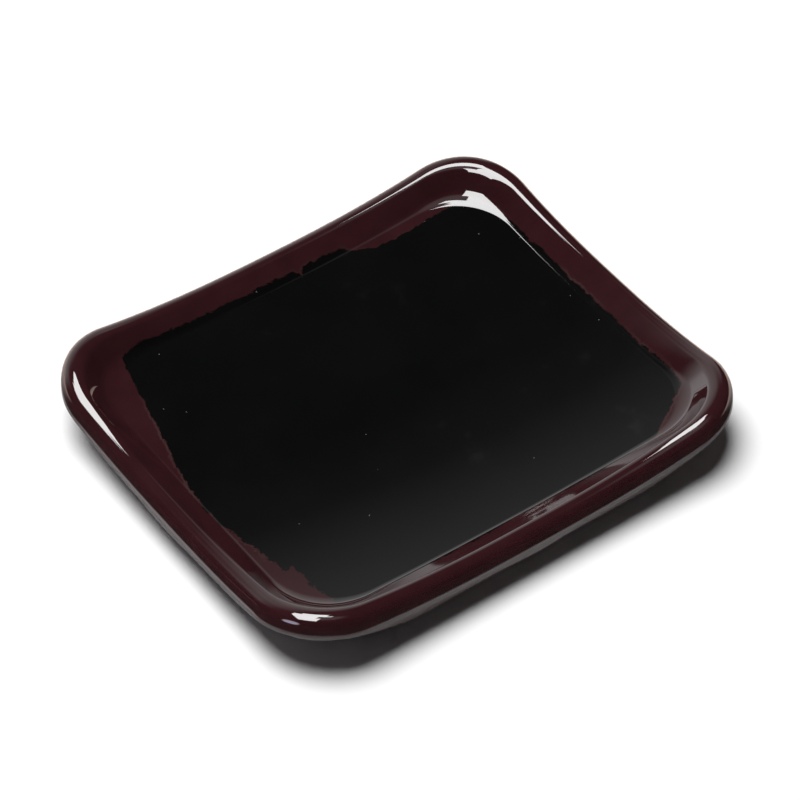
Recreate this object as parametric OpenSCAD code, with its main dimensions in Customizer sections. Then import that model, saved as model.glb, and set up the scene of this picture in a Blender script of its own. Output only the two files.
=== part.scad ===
// Soy sauce dish of kiln-formed glass, in millimetres.
// The table is at Z = 0, the long side runs along X, and the origin is under the middle of the dish.
// Every ring of the dish is a rounded rectangle, given by its distance in from the outer edge.

/* [Dish] */
// Length over the outer edge
dish_length = 90; // [70:0.5:120]
// Width over the outer edge
dish_width = 76.5; // [64:0.5:110]
// Radius of the outer corners in plan
corner_radius = 13; // [9:0.5:18]

/* [Rim] */
// Distance from the outer edge in to the crest
crest_inset = 2.2; // [1.6:0.1:3.2]
// Height of the crest above the widest line of the outer edge
edge_drop = 3.4; // [2.5:0.1:4]
// Fullness of the outer edge's curve, where 2 is an ellipse and more is blunter
edge_power = 2.5; // [2:0.1:3]
// Height of the crest over the panel's edge at the middle of a side
rim_stand = 2.5; // [1.6:0.1:4]
// How much higher the crest stands at the corners
corner_rise = 2.9; // [0.5:0.1:4.5]
// How closely the rise keeps to the corners
rise_power = 2.5; // [1.4:0.1:4]
// Radius of the crest on its inner side
crest_radius = 1.7; // [1.2:0.1:2.4]
// Radius of the hollow at the foot of the rim's inner slope, at the middle of a side
fillet_radius = 1.6; // [1:0.1:3]
// Radius of the same hollow at the corners
corner_fillet = 3.1; // [1.6:0.1:3.2]

/* [Sheets] */
// Thickness of the lower sheet
sheet_thickness = 3; // [2:0.1:4]
// Thickness of the black panel at its middle
panel_thickness = 1.9; // [1.5:0.1:4]
// Height that the bowl of the floor gains from its middle to the panel's edge at the middle of a side
floor_dip = 1.6; // [0.6:0.1:2.4]
// Distance from the outer edge in to the black panel, which meets the foot of the slope
panel_margin = 7.1; // [6:0.1:12]

/* [Base] */
// Distance from the outer edge in to the lower sheet's top edge
sheet_inset = 1.4; // [0.8:0.1:2.5]
// Corner radius of the lower sheet's top edge
sheet_corner_radius = 22.5; // [16:0.5:27]
// Distance from the outer edge in to the flat face that the dish rests on
foot_inset = 11; // [8:0.5:14]

/* [Hidden] */

// Facets of a true round
$fn = 96;
// Stations on each corner and on each side of a ring
corner_steps = 12;
side_steps = 12;
// Steps of each stretch of the rim's section
outer_steps = 6;
edge_steps = 8;
inner_steps = 20;
// Rings of the panel's top, and the half width of the last one, round the middle
panel_rings = 9;
middle_patch = 4;
// How much a ring's corner radius gains per millimetre inside the crest
corner_growth = 0.1;
// Largest share of a ring's half width that its corner radius takes
corner_share = 0.8;
// Pull of the outer edge's curve towards its tangents
edge_pull = 0.55;
// Largest share of the outer edge's own slope that its lower end takes
slope_share = 0.85;

floor_height = sheet_thickness + panel_thickness;
side_height = floor_height + floor_dip + rim_stand;
slope_run = panel_margin - crest_inset;
// Half lengths of the black panel
panel_x = dish_length / 2 - panel_margin;
panel_y = dish_width / 2 - panel_margin;
foot_radius = sheet_corner_radius - foot_inset + sheet_inset;
// The lower sheet's side is an arc that leaves the table flat
side_run = foot_inset - sheet_inset;
side_radius = (side_run * side_run + sheet_thickness * sheet_thickness) / (2 * sheet_thickness);
side_slope = side_run / (side_radius - sheet_thickness);

// Corner radius of the ring at an inset: a true offset on the edge, growing slowly inside the crest
function ring_radius(inset) =
    min(corner_share * (dish_width / 2 - inset),
        inset < crest_inset ? corner_radius - inset
                            : corner_radius - crest_inset + corner_growth * (inset - crest_inset));

// Centre of a ring's corner arc, for corners counted anticlockwise from +X +Y
function corner_centre(corner, inset, radius) =
    [(corner == 0 || corner == 3 ? 1 : -1) * (dish_length / 2 - inset - radius),
     (corner < 2 ? 1 : -1) * (dish_width / 2 - inset - radius)];

function arc_point(corner, inset, radius, turn) =
    corner_centre(corner, inset, radius) + radius * [cos(90 * corner + turn), sin(90 * corner + turn)];

// Points of a ring: each corner's arc, then the side that follows it
function ring(inset, radius) = [
    for (corner = [0 : 3]) each concat(
        [for (k = [0 : corner_steps - 1]) arc_point(corner, inset, radius, 90 * k / corner_steps)],
        [for (k = [0 : side_steps - 1])
            let (from = arc_point(corner, inset, radius, 90),
                 to = arc_point((corner + 1) % 4, inset, radius, 0))
            from + (to - from) * k / side_steps])];

stations = 4 * (corner_steps + side_steps);

// Height of the crest at each station
crest_ring = ring(crest_inset, ring_radius(crest_inset));
crest_corner = arc_point(0, crest_inset, ring_radius(crest_inset), 45);
function crest_height(i) =
    let (share = abs(crest_ring[i].x * crest_ring[i].y) / (crest_corner.x * crest_corner.y))
    side_height + corner_rise * pow(share, rise_power);
crests = [for (i = [0 : stations - 1]) crest_height(i)];

// The floor is a shallow bowl, steeper along the short side
function bowl_height(p) =
    floor_height + floor_dip * (pow(p.x / panel_x, 2) + pow(p.y / panel_y, 2));
function bowl_slope(p) = 2 * floor_dip * [p.x / pow(panel_x, 2), p.y / pow(panel_y, 2)];

// Foot of the rim's inner slope at each station, on the panel's edge, and the floor's slope there
foot_ring = ring(panel_margin, ring_radius(panel_margin));
foot_angles = [for (i = [0 : stations - 1])
    atan(bowl_slope(foot_ring[i]) * (crest_ring[i] - foot_ring[i]) / slope_run)];

// Radius of the hollow at the slope's foot under a crest, as far as the slope leaves room for it
function hollow_radius(crest) =
    min(slope_run - crest_radius,
        fillet_radius + (corner_fillet - fillet_radius) * (crest - side_height) / corner_rise);

// Height of the rim at a station and a distance in from the crest: the crest's arc, a straight slope
// that touches the crest and the hollow, and the hollow's arc that runs into the floor
function slope_height(i, distance) =
    let (hollow = hollow_radius(crests[i]),
         hollow_run = slope_run + hollow * sin(foot_angles[i]),
         hollow_height = bowl_height(foot_ring[i]) + hollow * cos(foot_angles[i]),
         crest_centre = crests[i] - crest_radius,
         climb = hollow_height - crest_centre,
         tilt = asin((crest_radius + hollow) / norm([hollow_run, climb])) - atan2(climb, hollow_run),
         slope_start = crest_radius * sin(tilt))
    distance < slope_start
        ? crest_centre + sqrt(crest_radius * crest_radius - distance * distance)
    : distance < hollow_run - hollow * sin(tilt)
        ? crest_centre + crest_radius * cos(tilt) - (distance - slope_start) * tan(tilt)
    : hollow_height - sqrt(hollow * hollow - pow(distance - hollow_run, 2));

// A ring of the rim's inner slope, and a ring of the floor
function slope_ring(inset) =
    let (plan = ring(inset, ring_radius(inset)))
    [for (i = [0 : stations - 1]) [plan[i].x, plan[i].y, slope_height(i, inset - crest_inset)]];

function floor_ring(inset) =
    [for (p = ring(inset, ring_radius(inset))) [p.x, p.y, bowl_height(p)]];

function flat_ring(inset, radius, height) = [for (p = ring(inset, radius)) [p.x, p.y, height]];

function bezier(a, b, c, d, t) =
    pow(1 - t, 3) * a + 3 * pow(1 - t, 2) * t * b + 3 * (1 - t) * t * t * c + pow(t, 3) * d;

// Outer edge from the lower sheet's top edge up to the widest line
sheet_ring = ring(sheet_inset, sheet_corner_radius);
widest_ring = ring(0, corner_radius);
function outer_point(i, t) =
    let (low = [sheet_ring[i].x, sheet_ring[i].y, sheet_thickness],
         high = [widest_ring[i].x, widest_ring[i].y, crests[i] - edge_drop],
         run = norm([high.x - low.x, high.y - low.y]),
         climb = high.z - low.z,
         start = min(side_slope * run, slope_share * climb),
         bend = [high.x, high.y, low.z + start])
    bezier(low, low + edge_pull * (bend - low), high + edge_pull * (bend - high), high, t);

// Outer edge from the widest line up to the crest, a quarter of a blunt ellipse
function edge_ring(turn) =
    let (inset = crest_inset * (1 - pow(cos(turn), 2 / edge_power)),
         drop = edge_drop * (1 - pow(sin(turn), 2 / edge_power)),
         plan = ring(inset, ring_radius(inset)))
    [for (i = [0 : stations - 1]) [plan[i].x, plan[i].y, crests[i] - drop]];

// Rings round the border's section, from the lower sheet over the crest to the panel and back
border_rings = concat(
    [for (k = [0 : outer_steps - 1]) [for (i = [0 : stations - 1]) outer_point(i, k / outer_steps)]],
    [for (k = [0 : edge_steps - 1]) edge_ring(90 * k / edge_steps)],
    [for (k = [0 : inner_steps - 1]) slope_ring(crest_inset + slope_run * k / inner_steps)],
    [floor_ring(panel_margin)],
    [flat_ring(panel_margin, ring_radius(panel_margin), sheet_thickness)]);

// Rings of the panel's top, from its edge to the patch in the middle
panel_reach = panel_y - middle_patch;
panel_top = [for (k = [0 : panel_rings]) floor_ring(panel_margin + panel_reach * k / panel_rings)];

// Triangles between two neighbouring rings, facing outwards
function band(a, b) = [
    for (i = [0 : stations - 1])
        let (next = (i + 1) % stations)
        each [[a * stations + i, b * stations + i, b * stations + next],
              [a * stations + i, b * stations + next, a * stations + next]]];

// Triangles from a ring to a point inside it, facing down or up
function fan(a, centre, up) = [
    for (i = [0 : stations - 1])
        let (from = a * stations + i,
             to = a * stations + (i + 1) % stations)
        up ? [to, from, centre] : [from, to, centre]];

// Section of the lower sheet at a corner: flat below, with an arc up its side
module sheet_section() {
    square([foot_radius, sheet_thickness]);
    intersection() {
        translate([foot_radius, side_radius]) circle(side_radius);
        translate([foot_radius, 0]) square([side_run, sheet_thickness]);
    }
}

module base_sheet() {
    reach_x = dish_length / 2 - sheet_inset - sheet_corner_radius;
    reach_y = dish_width / 2 - sheet_inset - sheet_corner_radius;
    color([0.2, 0.05, 0.06]) {
        translate([-reach_x, -reach_y, 0]) cube([2 * reach_x, 2 * reach_y, sheet_thickness]);
        for (corner = [0 : 3])
            translate(corner_centre(corner, sheet_inset, sheet_corner_radius))
                rotate(90 * corner) rotate_extrude(angle = 90) sheet_section();
        for (side = [0 : 1]) rotate(180 * side) {
            translate([reach_x, reach_y, 0]) rotate([90, 0, 0]) linear_extrude(2 * reach_y) sheet_section();
            translate([-reach_x, reach_y, 0]) rotate([90, 0, 90]) linear_extrude(2 * reach_x) sheet_section();
        }
    }
}

module rim_border() {
    count = len(border_rings);
    color([0.24, 0.06, 0.08])
        polyhedron(
            points = [for (r = border_rings) each r],
            faces = [for (k = [0 : count - 1]) each band(k, (k + 1) % count)]);
}

module black_panel() {
    count = len(panel_top);
    middle = (count + 1) * stations;
    color([0.05, 0.05, 0.05])
        polyhedron(
            points = concat(
                flat_ring(panel_margin, ring_radius(panel_margin), sheet_thickness),
                [for (r = panel_top) each r],
                [[0, 0, sheet_thickness], [0, 0, floor_height]]),
            faces = concat(
                fan(0, middle, false),
                [for (k = [0 : count - 1]) each band(k, k + 1)],
                fan(count, middle + 1, true)));
}

base_sheet();
rim_border();
black_panel();
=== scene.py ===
"""Soy sauce dish of fused glass: looks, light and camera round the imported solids. Lengths in metres."""

import math

import bpy
from mathutils import Matrix, Vector


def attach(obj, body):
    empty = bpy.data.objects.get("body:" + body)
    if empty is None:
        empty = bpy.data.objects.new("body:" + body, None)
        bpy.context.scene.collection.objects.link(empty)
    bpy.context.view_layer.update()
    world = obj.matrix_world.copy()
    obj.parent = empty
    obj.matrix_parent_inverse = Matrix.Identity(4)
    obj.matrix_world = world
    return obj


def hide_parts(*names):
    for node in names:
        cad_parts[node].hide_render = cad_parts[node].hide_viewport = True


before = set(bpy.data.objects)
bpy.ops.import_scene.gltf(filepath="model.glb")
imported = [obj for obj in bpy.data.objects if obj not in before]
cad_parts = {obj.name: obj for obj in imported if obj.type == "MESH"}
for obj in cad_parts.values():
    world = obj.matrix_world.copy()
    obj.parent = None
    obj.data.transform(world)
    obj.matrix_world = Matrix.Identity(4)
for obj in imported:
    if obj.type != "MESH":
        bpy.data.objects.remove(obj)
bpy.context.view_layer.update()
scene = bpy.context.scene
MM = 0.001

# Sizes of the dish, the same as the solids have
SIZES = {
    "Length": 90 * MM,
    "Width": 76.5 * MM,
    "Corner radius": 13 * MM,
    "Crest inset": 2.2 * MM,
    "Edge drop": 3.4 * MM,
    "Edge power": 2.5,
    "Rim stand": 2.5 * MM,
    "Corner rise": 2.9 * MM,
    "Rise power": 2.5,
    "Crest radius": 1.7 * MM,
    "Fillet radius": 1.6 * MM,
    "Corner fillet": 3.1 * MM,
    "Sheet thickness": 3 * MM,
    "Panel thickness": 1.9 * MM,
    "Floor dip": 1.6 * MM,
    "Panel margin": 7.1 * MM,
    "Sheet inset": 1.4 * MM,
    "Sheet corner radius": 22.5 * MM,
    "Foot inset": 11 * MM,
}
# How much a ring's corner radius gains per length inside the crest, and its largest share of the half width
CORNER_GROWTH = 0.1
CORNER_SHARE = 0.8
# Pull of the outer edge's curve towards its tangents, and the largest share of the climb at its start
EDGE_PULL = 0.55
SLOPE_SHARE = 0.85
# Points round a ring, and rows across each stretch of a section
STATIONS = 512
OUTER_ROWS = 18
EDGE_ROWS = 30
RIM_ROWS = 44
FLOOR_ROWS = 72
SIDE_ROWS = 26
FLAT_ROWS = 6
# Points closer than this are one, and edges that turn more than this angle stay sharp
WELD = 0.5e-6
SHARP_ANGLE = math.radians(50)

# Colours, linear
MAROON = (0.039, 0.0108, 0.0132, 1)
MAROON_DEEP = (0.030, 0.0080, 0.0098, 1)
BLACK = (0.0024, 0.0025, 0.0025, 1)
BLACK_PALE = (0.0036, 0.0037, 0.0036, 1)
SEAM = (0.06, 0.032, 0.031, 1)
# Pale colour where the glass lay on the mould: a painted reflection of the lit white table on the matte face
MOULD_FACE_AND_TABLE_REFLECTION = (0.085, 0.055, 0.053, 1)
WHITE = (1, 1, 1, 1)
TABLE = (0.97, 0.97, 0.97, 1)
ROOM = (0.02, 0.02, 0.02, 1)
WARM_TABLE = (0.95, 0.74, 0.64, 1)
DUST = (0.14, 0.14, 0.13, 1)
SMUDGE = (0.014, 0.014, 0.0135, 1)
FILL = (0.88, 0.9, 1, 1)

# Fused glass: its refraction, the strength of its mirror reflection, and the roughness of its mould face
GLASS_IOR = 1.63
GLASS_SPECULAR = 1.0
MOULD_ROUGHNESS = 0.5
# Faces that lay on the mould, matte and with a painted reflection of the table: the upward lean between which
# their mask fades out, and the noise and reach of its uneven edge
MOULD_LEAN = (0.02, 0.12)
MOULD_NOISE = 0.3
MOULD_WANDER = 0.03

# Camera at the photograph's angle: the azimuth of its place from -Y towards +X, its angle over the table,
# its distance, the height that it looks at, how far right and up of the middle, then sensor and lens in mm
CAMERA_AZIMUTH = math.radians(-35.86)
CAMERA_ELEVATION = math.radians(46.49)
CAMERA_DISTANCE = 625.8 * MM
CAMERA_TARGET = 5.7 * MM
CAMERA_SHIFT = (0.589 * MM, 0.175 * MM)
SENSOR_WIDTH = 36
LENS = 175.5

# Table: half its width and how far it lies under the dish. Then distances in millimetres: from the dish to
# where the camera sees it plain white, over which the part behind the dish starts, and over which the dark in
# front of the dish starts when mirrored, with how dark it is right at the dish
TABLE_HALF = 3.0
TABLE_DROP = 0.05 * MM
PLAIN_FADE = (60, 200)
BEHIND_FADE = (0, 35)
DARK_FADE = (5.5, 8)
DARK_NEAR = 0.3

# Round key light that casts the shadow and isn't mirrored: its angles from the zenith towards X and Y,
# the angle from its middle to its rim, its distance, and how far it lights a white table
KEY_LEAN = (math.radians(-6), math.radians(11))
KEY_SPREAD = math.radians(18)
KEY_DISTANCE = 2.5
KEY_LEVEL = 1.06
# Soft box for the highlights, of panels end to end, none straight over the dish's middle: its height, where
# the panels' ends and sides lie from that middle, the turn of its long axis from X, and its radiance
SOFT_BOX_HEIGHT = 0.45
SOFT_BOX_PANELS = (
    ((-0.36, -0.08), (-0.01, 0.21)),
    ((-0.08, 0.07), (0.03, 0.21)),
    ((0.07, 0.125), (-0.04, 0.2)),
    ((0.125, 0.17), (0, 0.19)),
    ((0.17, 0.25), (0.015, 0.145)),
)
SOFT_BOX_TURN = math.radians(41.7)
SOFT_BOX_RADIANCE = 6.4
# White screen behind the dish: how its sides fade, as angles to the right of straight ahead, and its
# brightness by the sine of the height over the horizon
SCREEN_LEFT = (math.radians(-78), math.radians(-52))
SCREEN_RIGHT = (math.radians(8), math.radians(18))
SCREEN_LEVELS = (
    (0.0, 0.85), (0.09, 0.8), (0.17, 0.55), (0.34, 0.46),
    (0.5, 0.34), (0.6, 0.165), (0.7, 0.022), (0.76, 0.004),
)
# The screen's levels sink to the right: the angle in radians where they are as listed, how far they sink
# with each radian, and the most that they move
SLANT_MIDDLE = -0.067
SLANT_RATE = 0.57
SLANT_MOST = 0.08
# Mirrored glow overhead, by the sine of the height over the horizon, its level, and the dark room's level
GLOW_FADE = (0.9, 0.98)
GLOW_LEVEL = 0.25
ROOM_LEVEL = 0.004
# Fill light that isn't mirrored: its level all round, its gain from the camera's left, and that direction
FILL_LEVEL = 0.004
FILL_GAIN = 0.12
FILL_WAY = (-0.8, 0.6)

# Small bluish window, seen in reflections only: its azimuth from +Y towards +X, its height over the
# horizon, the angle from its middle to its rim, the share of that which is even, its colour and radiance
WINDOW_AZIMUTH = math.radians(-101)
WINDOW_HEIGHT = math.radians(9)
WINDOW_SPREAD = math.radians(14)
WINDOW_CORE = 0.6
WINDOW = (0.78, 0.75, 1, 1)
WINDOW_RADIANCE = 2.6

# Black field in millimetres: its middle, half sizes and corner radius
FIELD_MIDDLE = (0.3, 0.3)
FIELD_HALF = (38.6, 32.4)
FIELD_CORNER = 11
# Straight cuts in the field's edge: the directions and distances from the middle past which glass is cut
# away, where a cut with two lines takes only what lies past both
CUTS = (
    ((math.radians(167), 37.75),),
    ((math.radians(180), 33.9), (math.radians(270), 20)),
    ((math.radians(192), 38.75),),
    ((math.radians(62), 34.5), (math.radians(90), 29.75)),
    ((math.radians(50), 26.5), (math.radians(130), 22)),
    ((math.radians(303), 41.9),),
)
# How the field's edge wanders, as features to the millimetre and millimetres: in waves and in nipped chips.
# The chips grow by a share towards the near corner, between two sums of -X and -Y. Last, half the blur
EDGE_WAVES = ((0.1, 0.7), (0.9, 0.15))
EDGE_CHIPS = ((0.7, 0.25), (1.8, 0.2))
COARSE_FADE = (25, 45)
COARSE_GAIN = 1.4
EDGE_BLUR = 0.1
# Noise in the colours, as features to the millimetre and detail, and how strongly the maroon is mottled
MAROON_NOISE = (0.22, 4.0)
MAROON_MOTTLE = 0.9
BLACK_NOISE = (0.08, 3.0)
# Pale seam outside the edge: its place, the fade of its sides, the noise that breaks it, and its strength
SEAM_PLACE = 0.25
SEAM_FADE = (0.05, 0.3)
SEAM_NOISE = 0.05
SEAM_BREAKS = (0.0, 0.35)
SEAM_STRENGTH = 0.7
# Smudges on the black: fine noise inside patches of slow noise, the noise levels that show, and strength
SMUDGE_NOISE = (0.16, 6.0)
SMUDGE_FADE = (0.2, 0.6)
PATCH_NOISE = 0.045
PATCH_FADE = (0.1, 0.4)
SMUDGE_STRENGTH = 0.6
# Dust: cells to the millimetre, a speck's reach, the share of it that is even, and the share of bare cells
DUST_CELLS = 0.4
DUST_REACH = 0.14
DUST_CORE = 0.6
DUST_BARE = 0.82
# Roughness of the black, what a film adds to it and where the film lies, and what the maroon takes off it
ROUGHNESS = 0.05
FILM_ROUGHNESS = 0.1
FILM_NOISE = (0.11, 5.0)
FILM_FADE = (0.25, 0.8)
MAROON_POLISH = 0.025
# Unevenness of the surface: features to the millimetre, detail and height in millimetres
SWELLS = ((0.09, 2.0, 0.0015), (0.35, 1.0, 0.0002))


class Field:
    """A value in a node tree, which sums and products take further."""

    def __init__(self, tree, socket):
        self.tree = tree
        self.socket = socket

    def math(self, operation, *others):
        node = self.tree.nodes.new("ShaderNodeMath")
        node.operation = operation
        for plug, value in zip(node.inputs, (self, *others)):
            connect(self.tree, value, plug)
        return Field(self.tree, node.outputs[0])

    def __add__(self, other):
        return self.math("ADD", other)

    def __sub__(self, other):
        return self.math("SUBTRACT", other)

    def __mul__(self, other):
        return self.math("MULTIPLY", other)

    def __truediv__(self, other):
        return self.math("DIVIDE", other)

    def __pow__(self, other):
        return self.math("POWER", other)

    def __rtruediv__(self, other):
        return self ** -1 * other

    def __rsub__(self, other):
        return self * -1 + other

    def __radd__(self, other):
        return self + other

    def __rmul__(self, other):
        return self * other

    def __abs__(self):
        return self.math("ABSOLUTE")

    def least(self, other):
        return self.math("MINIMUM", other)

    def most(self, other):
        return self.math("MAXIMUM", other)

    def within(self, low, high):
        return self.most(low).least(high)

    def below(self, other):
        return self.math("LESS_THAN", other)

    def root(self):
        return self.math("SQRT")

    def sine(self):
        return self.math("SINE")

    def cosine(self):
        return self.math("COSINE")

    def arc_tangent(self, other):
        return self.math("ARCTAN2", other)


def connect(tree, value, plug):
    if isinstance(value, Field):
        tree.links.new(value.socket, plug)
    else:
        plug.default_value = value


def add_node(tree, kind, settings=None, **inputs):
    """A node with its settings and its inputs, which are named with _ for a space."""
    node = tree.nodes.new(kind)
    for name, value in (settings or {}).items():
        setattr(node, name, value)
    for name, value in inputs.items():
        connect(tree, value, node.inputs[name.replace("_", " ")])
    return node


def new_tree(name, kind, inputs, outputs):
    """A node tree with named sockets, its inputs as fields, and the node that its results go to."""
    tree = bpy.data.node_groups.new(name, kind)
    for label, default in inputs.items():
        kind_of = "NodeSocketMaterial" if default is None else "NodeSocketFloat"
        socket = tree.interface.new_socket(label, in_out="INPUT", socket_type=kind_of)
        if default is not None:
            socket.default_value = default
    for label, kind_of in outputs.items():
        tree.interface.new_socket(label, in_out="OUTPUT", socket_type=kind_of)
    enter = tree.nodes.new("NodeGroupInput")
    given = {label: Field(tree, enter.outputs[label]) for label in inputs}
    return tree, given, tree.nodes.new("NodeGroupOutput")


def place_group(tree, group, given, **own):
    """A shape group in a tree: its own inputs are named here, and sizes come from the tree's inputs."""
    node = tree.nodes.new("GeometryNodeGroup")
    node.node_tree = group
    for plug in node.inputs:
        key = plug.name.lower().replace(" ", "_")
        connect(tree, own[key] if key in own else given[plug.name], plug)
    return [Field(tree, socket) for socket in node.outputs]


def size_inputs(*labels):
    return {label: SIZES[label] for label in labels}


FLOAT = "NodeSocketFloat"
COLOUR = "NodeSocketColor"
GEOMETRY = "NodeSocketGeometry"
TREE = "GeometryNodeTree"


def ring_point_group():
    """Point of a rounded rectangle: anticlockwise from +X, each corner's arc, then the side after it."""
    inputs = {"Around": 0.0, "Inset": 0.0, "Ring radius": 0.0, **size_inputs("Length", "Width")}
    tree, given, leave = new_tree("Ring point", TREE, inputs, {"X": FLOAT, "Y": FLOAT})
    quarters = given["Around"] * 4
    quarter = quarters.math("FLOOR")
    part = (quarters - quarter) * 2
    turn = (quarter + part.least(1)) * (math.pi / 2)
    along = quarter + (part - 1).most(0)
    radius = given["Ring radius"]
    side_x = (abs(along - 1.5) * 2 - 2).within(-1, 1)
    side_y = (abs(along - 2.5) * 2 - 2).within(-1, 1)
    reach_x = given["Length"] / 2 - given["Inset"] - radius
    reach_y = given["Width"] / 2 - given["Inset"] - radius
    connect(tree, side_x * reach_x + radius * turn.cosine(), leave.inputs["X"])
    connect(tree, side_y * reach_y + radius * turn.sine(), leave.inputs["Y"])
    return tree


def ring_radius_group():
    """Corner radius of the ring at an inset: a true offset on the edge, growing slowly inside the crest."""
    inputs = {"Inset": 0.0, **size_inputs("Width", "Corner radius", "Crest inset")}
    tree, given, leave = new_tree("Ring radius", TREE, inputs, {"Ring radius": FLOAT})
    inset = given["Inset"]
    crest = given["Crest inset"]
    offset = given["Corner radius"] - inset.least(crest) - (crest - inset).least(0) * CORNER_GROWTH
    widest = (given["Width"] / 2 - inset) * CORNER_SHARE
    connect(tree, offset.least(widest), leave.inputs["Ring radius"])
    return tree


def crest_height_group(ring_point):
    """Height of the rim's crest round the dish, which rises towards the corners."""
    labels = ("Length", "Width", "Corner radius", "Crest inset", "Sheet thickness", "Panel thickness",
              "Floor dip", "Rim stand", "Corner rise", "Rise power")
    inputs = {"Around": 0.0, **size_inputs(*labels)}
    tree, given, leave = new_tree("Crest height", TREE, inputs, {"Crest": FLOAT})
    inset = given["Crest inset"]
    radius = given["Corner radius"] - inset
    x, y = place_group(tree, ring_point, given, around=given["Around"], inset=inset, ring_radius=radius)
    corner_x = given["Length"] / 2 - inset - radius * (1 - math.sqrt(0.5))
    corner_y = given["Width"] / 2 - inset - radius * (1 - math.sqrt(0.5))
    share = abs(x * y) / (corner_x * corner_y)
    side = given["Sheet thickness"] + given["Panel thickness"] + given["Floor dip"] + given["Rim stand"]
    connect(tree, side + given["Corner rise"] * share ** given["Rise power"], leave.inputs["Crest"])
    return tree


def bowl_group():
    """Height of the floor, a shallow bowl, and how fast it climbs along X and along Y."""
    labels = ("Length", "Width", "Sheet thickness", "Panel thickness", "Floor dip", "Panel margin")
    outputs = {"Height": FLOAT, "Climb X": FLOAT, "Climb Y": FLOAT}
    tree, given, leave = new_tree("Bowl", TREE, {"X": 0.0, "Y": 0.0, **size_inputs(*labels)}, outputs)
    half_x = given["Length"] / 2 - given["Panel margin"]
    half_y = given["Width"] / 2 - given["Panel margin"]
    across_x = given["X"] / half_x
    across_y = given["Y"] / half_y
    dip = given["Floor dip"]
    floor = given["Sheet thickness"] + given["Panel thickness"]
    connect(tree, floor + dip * (across_x * across_x + across_y * across_y), leave.inputs["Height"])
    connect(tree, dip * across_x * 2 / half_x, leave.inputs["Climb X"])
    connect(tree, dip * across_y * 2 / half_y, leave.inputs["Climb Y"])
    return tree


def slope_height_group():
    """Height of the rim from its crest in to the floor: the crest's arc, a straight slope and a hollow."""
    labels = ("Crest inset", "Rim stand", "Corner rise", "Crest radius", "Fillet radius", "Corner fillet",
              "Sheet thickness", "Panel thickness", "Floor dip", "Panel margin")
    inputs = {"Inset": 0.0, "Crest": 0.0, "Foot": 0.0, "Foot angle": 0.0, **size_inputs(*labels)}
    tree, given, leave = new_tree("Slope height", TREE, inputs, {"Height": FLOAT})
    crest_radius = given["Crest radius"]
    fillet = given["Fillet radius"]
    foot_angle = given["Foot angle"]
    slope_run = given["Panel margin"] - given["Crest inset"]
    side = given["Sheet thickness"] + given["Panel thickness"] + given["Floor dip"] + given["Rim stand"]
    share = (given["Crest"] - side) / given["Corner rise"]
    hollow = (fillet + (given["Corner fillet"] - fillet) * share).least(slope_run - crest_radius)
    hollow_run = slope_run + hollow * foot_angle.sine()
    hollow_height = given["Foot"] + hollow * foot_angle.cosine()
    crest_centre = given["Crest"] - crest_radius
    climb = hollow_height - crest_centre
    apart = (hollow_run * hollow_run + climb * climb).root()
    tilt = ((crest_radius + hollow) / apart).math("ARCSINE") - climb.arc_tangent(hollow_run)
    distance = given["Inset"] - given["Crest inset"]
    crest_end = crest_radius * tilt.sine()
    slope_end = hollow_run - hollow * tilt.sine()
    from_hollow = distance - hollow_run
    on_crest = crest_centre + (crest_radius * crest_radius - distance * distance).root()
    on_slope = crest_centre + crest_radius * tilt.cosine() - (distance - crest_end) * tilt.math("TANGENT")
    height = hollow_height - (hollow * hollow - from_hollow * from_hollow).root()
    for end, stretch in ((slope_end, on_slope), (crest_end, on_crest)):
        before = distance.below(end)
        height = height * (1 - before) + stretch * before
    connect(tree, height, leave.inputs["Height"])
    return tree


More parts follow.
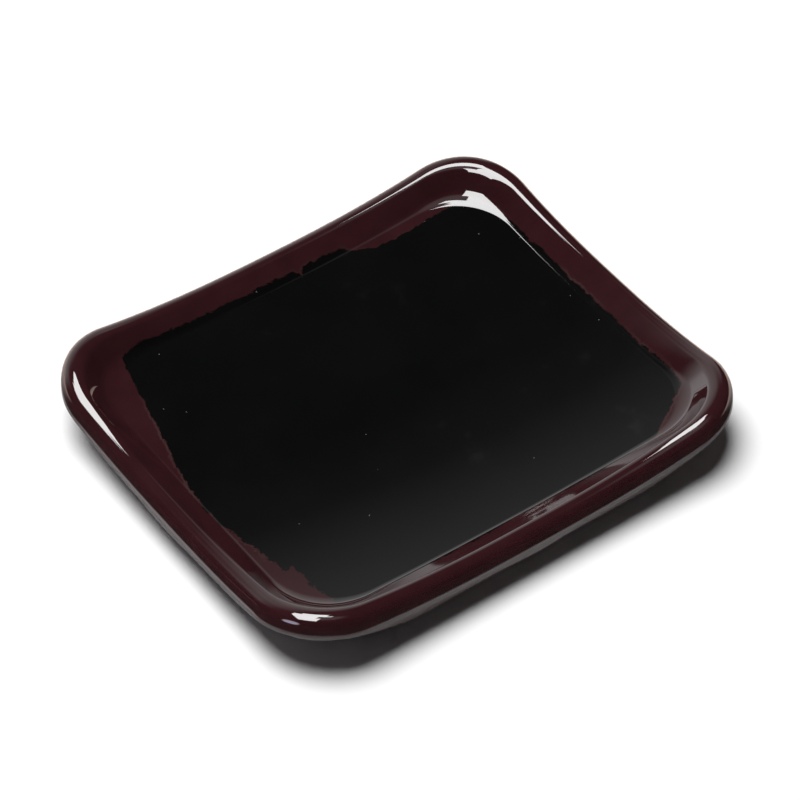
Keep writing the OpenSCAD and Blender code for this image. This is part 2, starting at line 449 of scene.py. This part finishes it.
class ShapeTree:
    """A geometry tree for one piece of the dish, made of stretches that each run round the whole ring."""

    def __init__(self, name, groups):
        inputs = {**SIZES, "Finish": None}
        self.tree, self.given, self.leave = new_tree(name, TREE, inputs, {"Geometry": GEOMETRY})
        self.tree.is_modifier = True
        self.groups = groups
        self.stretches = []

    def ring(self, around, inset, radius=None):
        if radius is None:
            radius = place_group(self.tree, self.groups["radius"], self.given, inset=inset)[0]
        return place_group(self.tree, self.groups["point"], self.given, around=around, inset=inset,
                           ring_radius=radius)

    def crest(self, around):
        return place_group(self.tree, self.groups["crest"], self.given, around=around)[0]

    def floor(self, around, inset):
        """A point of the floor, and how fast the floor climbs there along X and along Y."""
        x, y = self.ring(around, inset)
        height, climb_x, climb_y = place_group(self.tree, self.groups["bowl"], self.given, x=x, y=y)
        return (x, y, height), (climb_x, climb_y)

    def slope(self, around, inset):
        """A point of the rim's inner slope."""
        margin = self.given["Panel margin"]
        crest_inset = self.given["Crest inset"]
        crest_x, crest_y = self.ring(around, crest_inset)
        (foot_x, foot_y, foot), (climb_x, climb_y) = self.floor(around, margin)
        outward = climb_x * (crest_x - foot_x) + climb_y * (crest_y - foot_y)
        foot_angle = (outward / (margin - crest_inset)).math("ARCTANGENT")
        height = place_group(self.tree, self.groups["slope"], self.given, inset=inset,
                             crest=self.crest(around), foot=foot, foot_angle=foot_angle)[0]
        x, y = self.ring(around, inset)
        return x, y, height

    def stretch(self, rows, point):
        """A grid bent to the points that a rule puts at places round the ring and across the stretch."""
        grid = add_node(self.tree, "GeometryNodeMeshGrid", Size_X=1.0, Size_Y=1.0,
                        Vertices_X=STATIONS + 1, Vertices_Y=rows + 1)
        flat = self.tree.nodes.new("GeometryNodeInputPosition")
        split = add_node(self.tree, "ShaderNodeSeparateXYZ", Vector=Field(self.tree, flat.outputs[0]))
        around = Field(self.tree, split.outputs["X"]) + 0.5
        across = Field(self.tree, split.outputs["Y"]) + 0.5
        x, y, z = point(around, across)
        joined = add_node(self.tree, "ShaderNodeCombineXYZ", X=x, Y=y, Z=z)
        bent = add_node(self.tree, "GeometryNodeSetPosition",
                        Geometry=Field(self.tree, grid.outputs["Mesh"]),
                        Position=Field(self.tree, joined.outputs[0]))
        self.stretches.append(Field(self.tree, bent.outputs[0]))

    def close(self):
        """Joins the stretches to one smooth shell with its hard edges kept, and gives it its finish."""
        tree = self.tree
        joined = tree.nodes.new("GeometryNodeJoinGeometry")
        for part in self.stretches:
            tree.links.new(part.socket, joined.inputs[0])
        welded = add_node(tree, "GeometryNodeMergeByDistance",
                          Geometry=Field(tree, joined.outputs[0]), Distance=WELD)
        smooth = add_node(tree, "GeometryNodeSetShadeSmooth", {"domain": "FACE"},
                          Geometry=Field(tree, welded.outputs[0]), Shade_Smooth=True)
        turn = tree.nodes.new("GeometryNodeInputMeshEdgeAngle")
        hard = Field(tree, turn.outputs["Unsigned Angle"]).math("GREATER_THAN", SHARP_ANGLE)
        edged = add_node(tree, "GeometryNodeSetShadeSmooth", {"domain": "EDGE"},
                         Geometry=Field(tree, smooth.outputs[0]), Selection=hard, Shade_Smooth=False)
        real = add_node(tree, "GeometryNodeRealizeInstances", Geometry=Field(tree, edged.outputs[0]))
        finished = add_node(tree, "GeometryNodeSetMaterial", Geometry=Field(tree, real.outputs[0]),
                            Material=self.given["Finish"])
        tree.links.new(finished.outputs[0], self.leave.inputs["Geometry"])
        return tree


def border_tree(groups):
    """The maroon border: up the outer edge, over the crest, down to the panel, and back under itself."""
    shape = ShapeTree("Rim border", groups)
    size = shape.given
    thickness = size["Sheet thickness"]
    margin = size["Panel margin"]
    crest_inset = size["Crest inset"]
    side_run = size["Foot inset"] - size["Sheet inset"]
    side_radius = (side_run * side_run + thickness * thickness) / (thickness * 2)
    side_slope = side_run / (side_radius - thickness)

    def outer(around, across):
        low_x, low_y = shape.ring(around, size["Sheet inset"], size["Sheet corner radius"])
        high_x, high_y = shape.ring(around, thickness * 0)
        high = shape.crest(around) - size["Edge drop"]
        run_x = high_x - low_x
        run_y = high_y - low_y
        climb = high - thickness
        start = (side_slope * (run_x * run_x + run_y * run_y).root()).least(climb * SLOPE_SHARE)
        back = 1 - across
        first = back * back * across * 3
        second = back * across * across * 3
        last = across * across * across
        outward = first * EDGE_PULL + second + last
        lift = first * start * EDGE_PULL + second * (climb - (climb - start) * EDGE_PULL) + last * climb
        return low_x + run_x * outward, low_y + run_y * outward, thickness + lift

    def edge(around, across):
        turn = across * (math.pi / 2)
        bulge = 2 / size["Edge power"]
        x, y = shape.ring(around, crest_inset * (1 - turn.cosine().most(0) ** bulge))
        return x, y, shape.crest(around) - size["Edge drop"] * (1 - turn.sine() ** bulge)

    def slope(around, across):
        back = 1 - across
        inset = margin - (margin - crest_inset) * back * back.root()
        return shape.slope(around, inset)

    def wall(around, across):
        (x, y, high), _ = shape.floor(around, margin)
        return x, y, high + (thickness - high) * across

    def under(around, across):
        inner_x, inner_y = shape.ring(around, margin)
        outer_x, outer_y = shape.ring(around, size["Sheet inset"], size["Sheet corner radius"])
        return inner_x + (outer_x - inner_x) * across, inner_y + (outer_y - inner_y) * across, thickness

    shape.stretch(OUTER_ROWS, outer)
    shape.stretch(EDGE_ROWS, edge)
    shape.stretch(RIM_ROWS, slope)
    shape.stretch(FLAT_ROWS, wall)
    shape.stretch(FLAT_ROWS, under)
    return shape.close()


def panel_tree(groups):
    """The black panel: up its wall, over the hollow floor to the middle, and out again underneath."""
    shape = ShapeTree("Black panel", groups)
    size = shape.given
    thickness = size["Sheet thickness"]
    margin = size["Panel margin"]
    middle = size["Width"] / 2

    def wall(around, across):
        (x, y, high), _ = shape.floor(around, margin)
        return x, y, thickness + (high - thickness) * across

    def floor(around, across):
        return shape.floor(around, margin + (middle - margin) * across * across.root())[0]

    def under(around, across):
        x, y = shape.ring(around, middle + (margin - middle) * across)
        return x, y, thickness

    shape.stretch(FLAT_ROWS, wall)
    shape.stretch(FLOOR_ROWS, floor)
    shape.stretch(FLAT_ROWS, under)
    return shape.close()


def sheet_tree(groups):
    """The lower sheet: from the flat face that it rests on, up its rounded side, and over its top."""
    shape = ShapeTree("Lower sheet", groups)
    size = shape.given
    thickness = size["Sheet thickness"]
    inset = size["Sheet inset"]
    foot = size["Foot inset"]
    foot_radius = size["Sheet corner radius"] - foot + inset
    side_run = foot - inset
    side_radius = (side_run * side_run + thickness * thickness) / (thickness * 2)
    side_turn = side_run.arc_tangent(side_radius - thickness)
    middle = size["Width"] / 2

    def bottom(around, across):
        x, y = shape.ring(around, middle + (foot - middle) * across, foot_radius * across)
        return x, y, thickness * 0

    def side(around, across):
        turn = side_turn * across
        out = side_radius * turn.sine()
        x, y = shape.ring(around, foot - out, foot_radius + out)
        return x, y, side_radius * (1 - turn.cosine())

    def top(around, across):
        left = 1 - across
        x, y = shape.ring(around, middle + (inset - middle) * left, size["Sheet corner radius"] * left)
        return x, y, thickness

    shape.stretch(FLAT_ROWS, bottom)
    shape.stretch(SIDE_ROWS, side)
    shape.stretch(FLAT_ROWS, top)
    return shape.close()


def make_piece(name, tree, finish, node):
    """Turns a shape tree into a plain mesh that stands for a solid."""
    piece = bpy.data.objects.new(name, bpy.data.meshes.new(name + "_seed"))
    scene.collection.objects.link(piece)
    modifier = piece.modifiers.new("Shape", "NODES")
    modifier.node_group = tree
    for item in tree.interface.items_tree:
        if item.in_out == "INPUT":
            modifier[item.identifier] = finish if item.name == "Finish" else SIZES[item.name]
    evaluated = piece.evaluated_get(bpy.context.evaluated_depsgraph_get())
    mesh = bpy.data.meshes.new_from_object(evaluated)
    piece.modifiers.remove(modifier)
    piece.data = mesh
    mesh.name = name
    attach(piece, "root")
    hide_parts(node)
    return piece


def new_material(name):
    material = bpy.data.materials.new(name)
    material.use_nodes = True
    tree = material.node_tree
    tree.nodes.clear()
    output = tree.nodes.new("ShaderNodeOutputMaterial")
    return material, tree, output


def noise(tree, place, scale, detail=2.0):
    """Noise from -1 to 1 at a place in millimetres, with that many features to the millimetre."""
    node = add_node(tree, "ShaderNodeTexNoise", Vector=place, Scale=scale, Detail=detail)
    return Field(tree, node.outputs[0]) * 2 - 1


def chips(tree, place, scale):
    """A value from -0.5 to 0.5, even over each chip, with that many chips to the millimetre."""
    node = add_node(tree, "ShaderNodeTexVoronoi", Vector=place, Scale=scale)
    split = add_node(tree, "ShaderNodeSeparateColor", Color=Field(tree, node.outputs["Color"]))
    return Field(tree, split.outputs[0]) - 0.5


def specks(tree, place, scale, reach):
    """Dots of a reach in millimetres in a few of the cells, with that many cells to the millimetre."""
    node = add_node(tree, "ShaderNodeTexVoronoi", Vector=place, Scale=scale)
    split = add_node(tree, "ShaderNodeSeparateColor", Color=Field(tree, node.outputs["Color"]))
    kept = Field(tree, split.outputs[1]).math("GREATER_THAN", DUST_BARE)
    rim = reach * scale
    return (1 - climb(Field(tree, node.outputs["Distance"]), rim * DUST_CORE, rim)) * kept


def climb(value, low, high):
    """A smooth step from 0 to 1 as a value goes from low to high."""
    node = add_node(value.tree, "ShaderNodeMapRange", {"interpolation_type": "SMOOTHSTEP"}, Value=value,
                    From_Min=low, From_Max=high)
    return Field(value.tree, node.outputs[0])


def blend(tree, factor, first, second):
    """A colour between two others."""
    node = add_node(tree, "ShaderNodeMix", {"data_type": "RGBA"})
    plugs = [plug for plug in node.inputs if plug.type == "RGBA"]
    connect(tree, factor, node.inputs["Factor"])
    connect(tree, first, plugs[0])
    connect(tree, second, plugs[1])
    return Field(tree, next(plug for plug in node.outputs if plug.type == "RGBA"))


def place_in_mm(tree):
    """The place on the object in millimetres, whole and as its X, Y and Z."""
    spot = tree.nodes.new("ShaderNodeTexCoord")
    scaled = add_node(tree, "ShaderNodeVectorMath", {"operation": "SCALE"},
                      Vector=Field(tree, spot.outputs["Object"]), Scale=1 / MM)
    place = Field(tree, scaled.outputs[0])
    split = add_node(tree, "ShaderNodeSeparateXYZ", Vector=place)
    return place, [Field(tree, socket) for socket in split.outputs]


def off_rectangle(x, y, half_x, half_y, radius):
    """Distance out from a rounded rectangle's edge, less than 0 inside."""
    past_x = abs(x) - (half_x - radius)
    past_y = abs(y) - (half_y - radius)
    out_x = past_x.most(0)
    out_y = past_y.most(0)
    return (out_x * out_x + out_y * out_y).root() + past_x.most(past_y).least(0) - radius


def nipped_edge(tree, place, x, y):
    """Distance out from the black field's wandering edge, less than 0 inside."""
    edge = off_rectangle(x - FIELD_MIDDLE[0], y - FIELD_MIDDLE[1], *FIELD_HALF, FIELD_CORNER)
    for cut in CUTS:
        past = [x * math.cos(turn) + y * math.sin(turn) - reach for turn, reach in cut]
        edge = edge.most(past[0].least(past[-1]))
    coarse = climb(-1 * (x + y), *COARSE_FADE) * COARSE_GAIN + 1
    large, small = [chips(tree, place, scale) * reach for scale, reach in EDGE_CHIPS]
    for scale, reach in EDGE_WAVES:
        edge = edge + noise(tree, place, scale) * reach
    return edge + (large + small) * coarse


def field_group():
    """Colour, roughness and height of the fused glass: a black field with a nipped edge in maroon."""
    outputs = {"Color": COLOUR, "Roughness": FLOAT, "Height": FLOAT}
    tree, _, leave = new_tree("Fused glass", "ShaderNodeTree", {}, outputs)
    place, (x, y, _) = place_in_mm(tree)
    edge = nipped_edge(tree, place, x, y)
    maroon_part = climb(edge, -EDGE_BLUR, EDGE_BLUR)
    mottle = noise(tree, place, *MAROON_NOISE)
    maroon = blend(tree, mottle * MAROON_MOTTLE + 0.5, MAROON_DEEP, MAROON)
    black = blend(tree, noise(tree, place, *BLACK_NOISE) + 0.5, BLACK, BLACK_PALE)
    patches = climb(noise(tree, place, PATCH_NOISE), *PATCH_FADE)
    smudge = climb(noise(tree, place, *SMUDGE_NOISE), *SMUDGE_FADE) * patches
    black = blend(tree, smudge * SMUDGE_STRENGTH, black, SMUDGE)
    colour = blend(tree, maroon_part, black, maroon)
    breaks = climb(noise(tree, place, SEAM_NOISE), *SEAM_BREAKS)
    seam = (1 - climb(abs(edge - SEAM_PLACE), *SEAM_FADE)) * breaks
    colour = blend(tree, seam * SEAM_STRENGTH, colour, SEAM)
    dust = specks(tree, place, DUST_CELLS, DUST_REACH) * (1 - maroon_part)
    colour = blend(tree, dust, colour, DUST)
    film = climb(noise(tree, place, *FILM_NOISE), *FILM_FADE)
    rough = film * FILM_ROUGHNESS + ROUGHNESS - maroon_part * MAROON_POLISH
    slow, fast = [noise(tree, place, scale, detail) * height for scale, detail, height in SWELLS]
    connect(tree, colour, leave.inputs["Color"])
    connect(tree, rough, leave.inputs["Roughness"])
    connect(tree, slow + fast, leave.inputs["Height"])
    return tree


def matte_and_reflection_group():
    """Faces that lay on the mould, matte and with a painted table reflection: downward and upright, with an
    uneven top.
    """
    tree, _, leave = new_tree("Mould face and painted reflection", "ShaderNodeTree", {}, {"Mask": FLOAT})
    place, _ = place_in_mm(tree)
    facing = tree.nodes.new("ShaderNodeNewGeometry")
    split = add_node(tree, "ShaderNodeSeparateXYZ", Vector=Field(tree, facing.outputs["Normal"]))
    lean = Field(tree, split.outputs["Z"]) + noise(tree, place, MOULD_NOISE) * MOULD_WANDER
    connect(tree, 1 - climb(lean, *MOULD_LEAN), leave.inputs["Mask"])
    return tree


def glass_material(name, groups):
    """Glossy fused glass, dull and with a painted reflection of the table where it lay on the mould."""
    material, tree, output = new_material(name)
    body = add_node(tree, "ShaderNodeGroup", {"node_tree": groups["glass"]})
    matte_and_reflection = add_node(tree, "ShaderNodeGroup", {"node_tree": groups["matte_and_reflection"]})
    matte_and_reflection_mask = Field(tree, matte_and_reflection.outputs["Mask"])
    # Painted reflection of the white table on the faces that lay on the mould
    colour = blend(tree, matte_and_reflection_mask, Field(tree, body.outputs["Color"]), MOULD_FACE_AND_TABLE_REFLECTION)
    rough = Field(tree, body.outputs["Roughness"])
    bump = add_node(tree, "ShaderNodeBump", Strength=1.0, Distance=MM,
                    Height=Field(tree, body.outputs["Height"]))
    shader = add_node(tree, "ShaderNodeBsdfPrincipled", IOR=GLASS_IOR, Specular_IOR_Level=GLASS_SPECULAR,
                      Base_Color=colour, Roughness=rough + matte_and_reflection_mask * (MOULD_ROUGHNESS - rough),
                      Normal=Field(tree, bump.outputs[0]))
    tree.links.new(shader.outputs[0], output.inputs["Surface"])
    return material


def floor_material(right):
    """White table with the dish's shadow, plain white far off; mirrored, warm behind and dark in front."""
    material, tree, output = new_material("White table")
    _, (x, y, _) = place_in_mm(tree)
    behind = climb(y * right.x - x * right.y, *BEHIND_FADE)
    half_x, half_y, radius = SIZES["Length"] / 2, SIZES["Width"] / 2, SIZES["Corner radius"]
    away = off_rectangle(x, y, half_x / MM, half_y / MM, radius / MM)
    path = tree.nodes.new("ShaderNodeLightPath")
    mirrored = Field(tree, path.outputs["Is Glossy Ray"])
    dark = (climb(away, *DARK_FADE) * (1 - DARK_NEAR) + DARK_NEAR) * (1 - behind)
    front = blend(tree, mirrored * dark, TABLE, ROOM)
    colour = blend(tree, mirrored * behind, front, WARM_TABLE)
    shader = add_node(tree, "ShaderNodeBsdfDiffuse", Color=colour)
    plain = add_node(tree, "ShaderNodeEmission", Color=WHITE, Strength=1.0)
    far = climb(away, *PLAIN_FADE) * Field(tree, path.outputs["Is Camera Ray"])
    mixed = add_node(tree, "ShaderNodeMixShader", Fac=far)
    tree.links.new(shader.outputs[0], mixed.inputs[1])
    tree.links.new(plain.outputs[0], mixed.inputs[2])
    tree.links.new(mixed.outputs[0], output.inputs["Surface"])
    return material


def aim(thing, place, back, across):
    """Puts a camera or lamp at a place, looking against the back direction, with its X axis across."""
    depth = back.normalized()
    side = (across - depth * across.dot(depth)).normalized()
    upright = depth.cross(side)
    thing.matrix_world = Matrix((
        (side.x, upright.x, depth.x, place.x),
        (side.y, upright.y, depth.y, place.y),
        (side.z, upright.z, depth.z, place.z),
        (0, 0, 0, 1)))


def add_camera():
    """The camera at the photograph's angle, with a square frame."""
    right = Vector((math.cos(CAMERA_AZIMUTH), math.sin(CAMERA_AZIMUTH), 0))
    level = math.cos(CAMERA_ELEVATION)
    back = Vector((right.y * level, -right.x * level, math.sin(CAMERA_ELEVATION)))
    upright = back.cross(right)
    target = Vector((0, 0, CAMERA_TARGET)) + right * CAMERA_SHIFT[0] + upright * CAMERA_SHIFT[1]
    data = bpy.data.cameras.new("Camera")
    data.sensor_fit = "HORIZONTAL"
    data.sensor_width = SENSOR_WIDTH
    data.lens = LENS
    data.clip_start = 0.01
    camera = bpy.data.objects.new("Camera", data)
    scene.collection.objects.link(camera)
    aim(camera, target + back * CAMERA_DISTANCE, back, right)
    scene.camera = camera
    return right


def add_lamp(name, shape, size, radiance, place, back, across):
    """An area lamp with a length and a width, of a given radiance."""
    data = bpy.data.lights.new(name, "AREA")
    data.shape = shape
    data.size, data.size_y = size
    area = size[0] * size[1] * (math.pi / 4 if shape == "ELLIPSE" else 1)
    data.energy = radiance * math.pi * area
    lamp = bpy.data.objects.new(name, data)
    scene.collection.objects.link(lamp)
    aim(lamp, place, back, across)
    return lamp


def add_key():
    """The key light, which faces the dish."""
    back = Vector((math.tan(KEY_LEAN[0]), math.tan(KEY_LEAN[1]), 1)).normalized()
    width = 2 * KEY_DISTANCE * math.tan(KEY_SPREAD)
    radiance = KEY_LEVEL / (math.sin(KEY_SPREAD) ** 2 * back.z)
    across = Vector((1, 0, 0))
    lamp = add_lamp("Key", "ELLIPSE", (width, width), radiance, back * KEY_DISTANCE, back, across)
    lamp.visible_glossy = False


def add_soft_box():
    """The soft box, which only reflections show."""
    along = Vector((math.cos(SOFT_BOX_TURN), math.sin(SOFT_BOX_TURN), 0))
    up = Vector((0, 0, 1))
    for ends, sides in SOFT_BOX_PANELS:
        size = (ends[1] - ends[0], sides[1] - sides[0])
        middle = along * (sum(ends) / 2) + up.cross(along) * (sum(sides) / 2) + up * SOFT_BOX_HEIGHT
        lamp = add_lamp("Soft box", "RECTANGLE", size, SOFT_BOX_RADIANCE, middle, up, along)
        lamp.visible_diffuse = False


def add_table(right):
    mesh = bpy.data.meshes.new("Table")
    turns = ((-1, -1), (1, -1), (1, 1), (-1, 1))
    corners = [(x * TABLE_HALF, y * TABLE_HALF, -TABLE_DROP) for x, y in turns]
    mesh.from_pydata(corners, [], [(0, 1, 2, 3)])
    mesh.materials.append(floor_material(right))
    table = bpy.data.objects.new("Table", mesh)
    scene.collection.objects.link(table)


def set_world(right):
    """White to the camera; in reflections a white screen low behind the dish, and a dark room round it."""
    world = bpy.data.worlds.new("Studio")
    scene.world = world
    world.use_nodes = True
    tree = world.node_tree
    tree.nodes.clear()
    path = tree.nodes.new("ShaderNodeLightPath")
    way = tree.nodes.new("ShaderNodeTexCoord")
    split = add_node(tree, "ShaderNodeSeparateXYZ", Vector=Field(tree, way.outputs["Generated"]))
    x, y, z = [Field(tree, socket) for socket in split.outputs]
    aside = (x * right.x + y * right.y).arc_tangent(y * right.x - x * right.y)
    screen = climb(aside, *SCREEN_LEFT) * (1 - climb(aside, *SCREEN_RIGHT))
    slant = ((aside - SLANT_MIDDLE) * SLANT_RATE).within(-SLANT_MOST, SLANT_MOST)
    ramp = add_node(tree, "ShaderNodeValToRGB", Fac=z + slant)
    elements = ramp.color_ramp.elements
    elements[0].position = SCREEN_LEVELS[0][0]
    elements[1].position = SCREEN_LEVELS[-1][0]
    for height, _ in SCREEN_LEVELS[1:-1]:
        elements.new(height)
    for element, (_, level) in zip(elements, SCREEN_LEVELS):
        element.color = (level, level, level, 1)
    glow = climb(z, *GLOW_FADE) * GLOW_LEVEL
    level = Field(tree, ramp.outputs["Color"]) * screen + glow + ROOM_LEVEL
    flat = math.cos(WINDOW_HEIGHT)
    off_window = (x * (math.sin(WINDOW_AZIMUTH) * flat) + y * (math.cos(WINDOW_AZIMUTH) * flat)
                  + z * math.sin(WINDOW_HEIGHT)).math("ARCCOSINE")
    window = 1 - climb(off_window, WINDOW_SPREAD * WINDOW_CORE, WINDOW_SPREAD)
    mirrored = add_node(tree, "ShaderNodeBackground", Color=blend(tree, window, WHITE, WINDOW),
                        Strength=level + window * WINDOW_RADIANCE)
    fill_share = climb(x * FILL_WAY[0] + y * FILL_WAY[1], 0, 1)
    fill = add_node(tree, "ShaderNodeBackground", Color=FILL, Strength=fill_share * FILL_GAIN + FILL_LEVEL)
    seen = add_node(tree, "ShaderNodeBackground", Color=WHITE)
    glossy = tree.nodes.new("ShaderNodeMixShader")
    tree.links.new(path.outputs["Is Glossy Ray"], glossy.inputs[0])
    tree.links.new(fill.outputs[0], glossy.inputs[1])
    tree.links.new(mirrored.outputs[0], glossy.inputs[2])
    direct = tree.nodes.new("ShaderNodeMixShader")
    tree.links.new(path.outputs["Is Camera Ray"], direct.inputs[0])
    tree.links.new(glossy.outputs[0], direct.inputs[1])
    tree.links.new(seen.outputs[0], direct.inputs[2])
    output = tree.nodes.new("ShaderNodeOutputWorld")
    tree.links.new(direct.outputs[0], output.inputs["Surface"])


scene.view_settings.view_transform = "Standard"
camera_right = add_camera()
add_table(camera_right)
set_world(camera_right)
add_key()
add_soft_box()

ring_point = ring_point_group()
groups = {
    "point": ring_point,
    "radius": ring_radius_group(),
    "crest": crest_height_group(ring_point),
    "bowl": bowl_group(),
    "slope": slope_height_group(),
    "glass": field_group(),
    "matte_and_reflection": matte_and_reflection_group(),
}
maroon_glass = glass_material("Maroon glass", groups)
black_glass = glass_material("Black glass", groups)
make_piece("lower_sheet", sheet_tree(groups), maroon_glass, "base_sheet")
make_piece("border", border_tree(groups), maroon_glass, "rim_border")
make_piece("panel", panel_tree(groups), black_glass, "black_panel")
